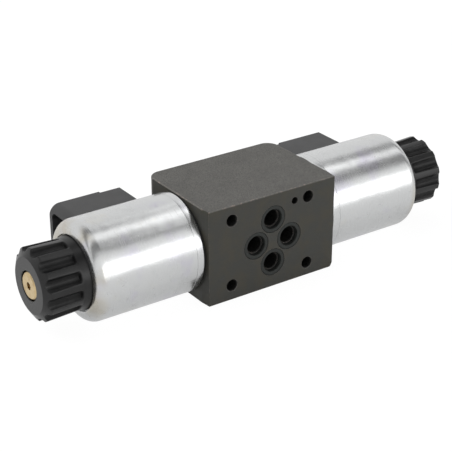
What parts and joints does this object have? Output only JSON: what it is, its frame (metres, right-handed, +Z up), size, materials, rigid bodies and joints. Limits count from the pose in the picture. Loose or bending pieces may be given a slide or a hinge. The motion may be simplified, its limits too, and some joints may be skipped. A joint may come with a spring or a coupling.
{
  "type": "solenoid directional control valve",
  "caption": "Solenoid directional control valve for a subplate, with coils, ribbed hand nuts, connector sockets and brass end plugs on both sides of a cast body.",
  "frame": {"origin": "middle of the port pattern on the mounting face", "axes": "+X along the spool and coils, +Y from the mounting face into the valve, +Z up with the valve lying on its side face"},
  "size_m": [0.2128, 0.064, 0.045],
  "materials": {
    "body_iron": "phosphated cast iron, dark grey, machined faces",
    "hardened_steel": "ground steel",
    "spring_steel": "bare spring wire",
    "tube_steel": "turned steel",
    "zinc_plate": "bright zinc plate, semi-gloss",
    "brass": "turned brass",
    "tinned_blades": "tinned brass blades",
    "winding_wire": "enamelled copper wire, as one solid ring",
    "seal_rubber": "black rubber",
    "port_seal_rubber": "black rubber, flush with the mounting face",
    "bobbin_plastic": "black moulded plastic",
    "housing_plastic": "dark grey moulded plastic",
    "nut_plastic": "black moulded plastic"
  },
  "bodies": {
    "valve": {"valve_body": "body_iron", "port_seal_p": "port_seal_rubber", "port_seal_a": "port_seal_rubber", "port_seal_b": "port_seal_rubber", "port_seal_t": "port_seal_rubber", "left_centring_spring": "spring_steel", "left_core_tube": "tube_steel", "left_tube_seal": "seal_rubber", "left_end_plug": "brass", "left_coil_seal": "seal_rubber", "right_centring_spring": "spring_steel", "right_core_tube": "tube_steel", "right_tube_seal": "seal_rubber", "right_end_plug": "brass", "right_coil_seal": "seal_rubber"},
    "spool_group": {"spool": "hardened_steel", "left_spring_seat": "hardened_steel", "right_spring_seat": "hardened_steel"},
    "left_armature": {"left_armature": "tube_steel", "left_push_rod": "hardened_steel"},
    "left_override": {"left_override_pin": "brass"},
    "left_coil": {"left_coil_can": "zinc_plate", "left_coil_end_plate": "zinc_plate", "left_bobbin": "bobbin_plastic", "left_winding": "winding_wire", "left_connector_housing": "housing_plastic", "left_terminals": "tinned_blades"},
    "left_nut": {"left_coil_nut": "nut_plastic", "left_nut_seal": "seal_rubber"},
    "right_armature": {"right_armature": "tube_steel", "right_push_rod": "hardened_steel"},
    "right_override": {"right_override_pin": "brass"},
    "right_coil": {"right_coil_can": "zinc_plate", "right_coil_end_plate": "zinc_plate", "right_bobbin": "bobbin_plastic", "right_winding": "winding_wire", "right_connector_housing": "housing_plastic", "right_terminals": "tinned_blades"},
    "right_nut": {"right_coil_nut": "nut_plastic", "right_nut_seal": "seal_rubber"}
  },
  "joints": [
    {"name": "spool_slide", "type": "slide", "parent": "valve", "child": "spool_group", "axis": [1, 0, 0], "range_m": [-0.0028, 0.0028], "stiffness_N_per_m": 6000, "deforming": ["left_centring_spring", "right_centring_spring"]},
    {"name": "left_armature_slide", "type": "slide", "parent": "valve", "child": "left_armature", "axis": [1, 0, 0], "range_m": [-0.0028, 0.0028]},
    {"name": "left_override_slide", "type": "slide", "parent": "valve", "child": "left_override", "axis": [1, 0, 0], "range_m": [-0.0028, 0.0028]},
    {"name": "right_armature_slide", "type": "slide", "parent": "valve", "child": "right_armature", "axis": [1, 0, 0], "range_m": [-0.0028, 0.0028]},
    {"name": "right_override_slide", "type": "slide", "parent": "valve", "child": "right_override", "axis": [1, 0, 0], "range_m": [-0.0028, 0.0028]},
    {"name": "left_coil_turn", "type": "hinge", "parent": "valve", "child": "left_coil", "pos_m": [0, 0.0233, 0], "axis": [1, 0, 0], "continuous": true},
    {"name": "left_nut_turn", "type": "hinge", "parent": "valve", "child": "left_nut", "pos_m": [0, 0.0233, 0], "axis": [1, 0, 0], "continuous": true},
    {"name": "right_coil_turn", "type": "hinge", "parent": "valve", "child": "right_coil", "pos_m": [0, 0.0233, 0], "axis": [1, 0, 0], "continuous": true},
    {"name": "right_nut_turn", "type": "hinge", "parent": "valve", "child": "right_nut", "pos_m": [0, 0.0233, 0], "axis": [1, 0, 0], "continuous": true}
  ],
  "couplings": [
    {"joint": "left_armature_slide", "follows": "spool_slide", "ratio": 1},
    {"joint": "left_override_slide", "follows": "spool_slide", "ratio": 1},
    {"joint": "right_armature_slide", "follows": "spool_slide", "ratio": 1},
    {"joint": "right_override_slide", "follows": "spool_slide", "ratio": 1}
  ]
}
